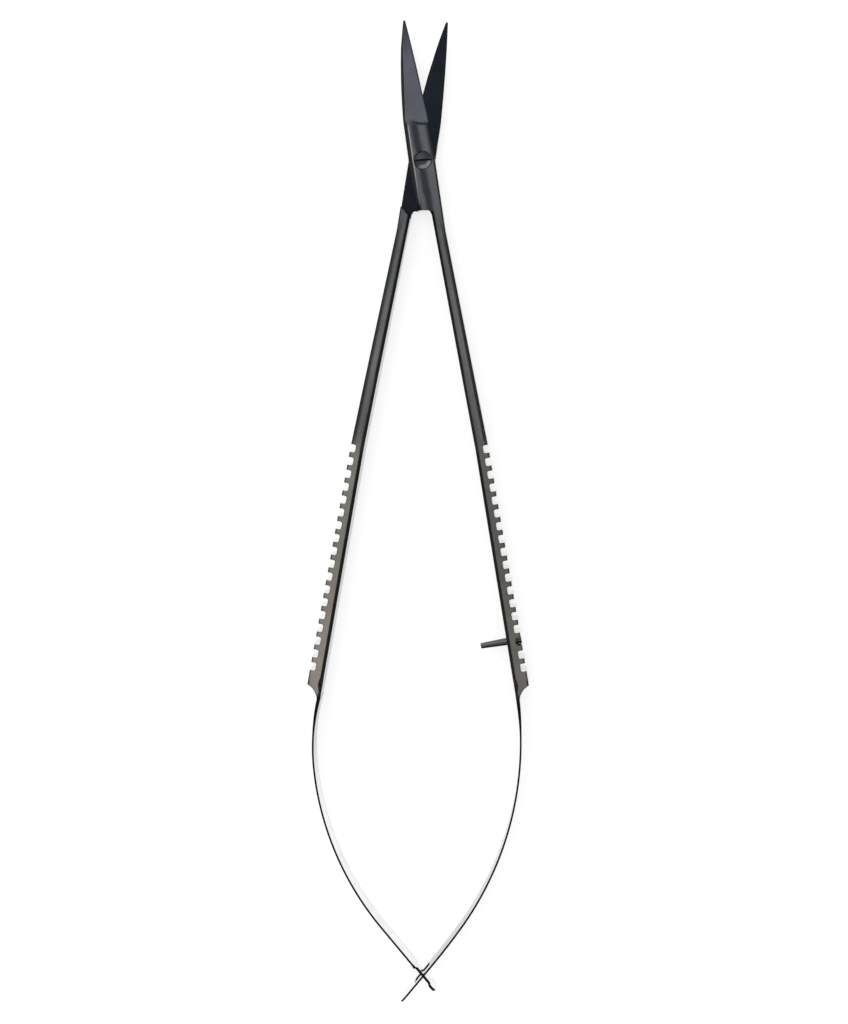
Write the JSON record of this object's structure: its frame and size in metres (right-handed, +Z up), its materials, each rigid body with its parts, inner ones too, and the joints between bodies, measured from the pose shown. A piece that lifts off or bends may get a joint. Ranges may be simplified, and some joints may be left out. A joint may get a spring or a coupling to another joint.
{
  "type": "micro scissors",
  "caption": "Spring-action micro scissors with slim serrated grips, crossed leaf springs hooked at the end and short straight blades, open at rest.",
  "frame": {"origin": "under the middle of the length and width, on the plane that the grips lie on", "axes": "+Y to the blade tips, +Z up through the pivot screw's head, +X to the arm that holds the stop pin"},
  "size_m": [0.0336, 0.1502, 0.0052],
  "materials": {
    "arm_steel": "dark satin",
    "leaf_steel": "dark satin spring steel",
    "screw_steel": "dark polished",
    "pin_steel": "grey satin"
  },
  "bodies": {
    "front_arm": {"front_arm": "arm_steel", "stop_pin": "pin_steel"},
    "back_arm": {"back_arm": "arm_steel", "pivot_screw": "screw_steel"},
    "slotted_leaf": {"slotted_leaf": "leaf_steel"},
    "tongue_leaf": {"tongue_leaf": "leaf_steel"}
  },
  "joints": [
    {"name": "pivot", "type": "hinge", "parent": "front_arm", "child": "back_arm", "pos_m": [0.0002, 0.05352, 0.0026], "axis": [0, 0, 1], "range_deg": [0, 17.5], "stiffness_Nm_per_rad": 0.3},
    {"name": "slotted_leaf_flex", "type": "hinge", "parent": "front_arm", "child": "slotted_leaf", "pos_m": [0.0152, -0.02877, 0.0026], "axis": [0, 0, 1], "range_deg": [0, 30]},
    {"name": "tongue_leaf_flex", "type": "hinge", "parent": "back_arm", "child": "tongue_leaf", "pos_m": [-0.0152, -0.02877, 0.0026], "axis": [0, 0, 1], "range_deg": [-24, 0]}
  ],
  "couplings": [
    {"joint": "slotted_leaf_flex", "follows": "pivot", "ratio": 1.64},
    {"joint": "tongue_leaf_flex", "follows": "pivot", "ratio": -1.27}
  ]
}
